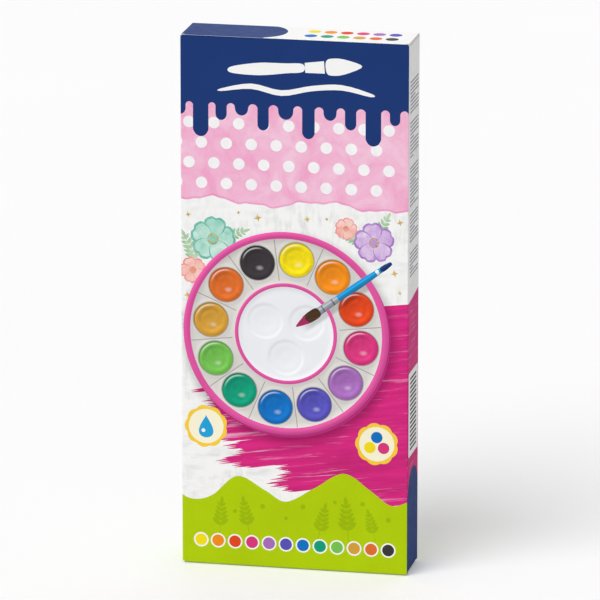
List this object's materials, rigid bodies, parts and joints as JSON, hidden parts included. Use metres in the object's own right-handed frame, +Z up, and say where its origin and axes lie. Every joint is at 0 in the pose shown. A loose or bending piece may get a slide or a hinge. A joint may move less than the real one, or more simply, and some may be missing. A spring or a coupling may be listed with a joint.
{
  "type": "gouache paint set box",
  "caption": "Slim printed board carton with a hinged tuck lid, holding a closed plastic gouache box with a palette lid, removable pans of pressed paint and a paint tube.",
  "frame": {"origin": "centre of the carton's base, on the surface that it stands on", "axes": "+Z up along the carton's length, -Y out of its front face, +X to the right as the front is read"},
  "size_m": [0.106, 0.025, 0.25],
  "materials": {
    "printed_board": "satin",
    "tray_plastic": "gloss",
    "lid_plastic": "gloss",
    "pan_plastic": "satin",
    "tube_foil": "satin",
    "cap_plastic": "satin",
    "yellow_paint": "matte",
    "orange_paint": "matte",
    "red_paint": "matte",
    "magenta_paint": "matte",
    "violet_paint": "matte",
    "ultramarine_paint": "matte",
    "blue_paint": "matte",
    "turquoise_paint": "matte",
    "green_paint": "matte",
    "ochre_paint": "matte",
    "sienna_paint": "matte",
    "black_paint": "matte"
  },
  "bodies": {
    "carton": {"front_panel": "printed_board", "back_panel": "printed_board", "left_side_panel": "printed_board", "right_side_panel": "printed_board", "glue_flap": "printed_board", "bottom_outer_flap": "printed_board", "bottom_inner_flap": "printed_board", "bottom_dust_flap_left": "printed_board", "bottom_dust_flap_right": "printed_board", "paint_tray": "tray_plastic", "palette_lid": "lid_plastic", "tube_body": "tube_foil", "pan_yellow": "pan_plastic", "pan_orange": "pan_plastic", "pan_red": "pan_plastic", "pan_magenta": "pan_plastic", "pan_violet": "pan_plastic", "pan_ultramarine": "pan_plastic", "pan_blue": "pan_plastic", "pan_turquoise": "pan_plastic", "pan_green": "pan_plastic", "pan_ochre": "pan_plastic", "pan_sienna": "pan_plastic", "pan_black": "pan_plastic", "paint_yellow": "yellow_paint", "paint_orange": "orange_paint", "paint_red": "red_paint", "paint_magenta": "magenta_paint", "paint_violet": "violet_paint", "paint_ultramarine": "ultramarine_paint", "paint_blue": "blue_paint", "paint_turquoise": "turquoise_paint", "paint_green": "green_paint", "paint_ochre": "ochre_paint", "paint_sienna": "sienna_paint", "paint_black": "black_paint"},
    "top_lid": {"top_lid_panel": "printed_board", "top_tuck_tab": "printed_board"},
    "dust_flap_left": {"top_dust_flap_left": "printed_board"},
    "dust_flap_right": {"top_dust_flap_right": "printed_board"},
    "cap": {"tube_cap": "cap_plastic"}
  },
  "joints": [
    {"name": "top_lid_hinge", "type": "hinge", "parent": "carton", "child": "top_lid", "pos_m": [0, 0.01225, 0.24975], "axis": [-1, 0, 0], "range_deg": [0, 180], "deforming": ["top_tuck_tab"]},
    {"name": "dust_flap_left_hinge", "type": "hinge", "parent": "carton", "child": "dust_flap_left", "pos_m": [-0.05275, 0, 0.2492], "axis": [0, -1, 0], "range_deg": [0, 90]},
    {"name": "dust_flap_right_hinge", "type": "hinge", "parent": "carton", "child": "dust_flap_right", "pos_m": [0.05275, 0, 0.2492], "axis": [0, 1, 0], "range_deg": [0, 90]},
    {"name": "cap_turn", "type": "hinge", "parent": "carton", "child": "cap", "pos_m": [-0.036, 0.0009, 0.23399], "axis": [-1, 0, 0], "range_deg": [0, 540]}
  ],
  "couplings": [
    {"joint": "dust_flap_left_hinge", "follows": "top_lid_hinge", "ratio": 0.5},
    {"joint": "dust_flap_right_hinge", "follows": "top_lid_hinge", "ratio": 0.5}
  ]
}
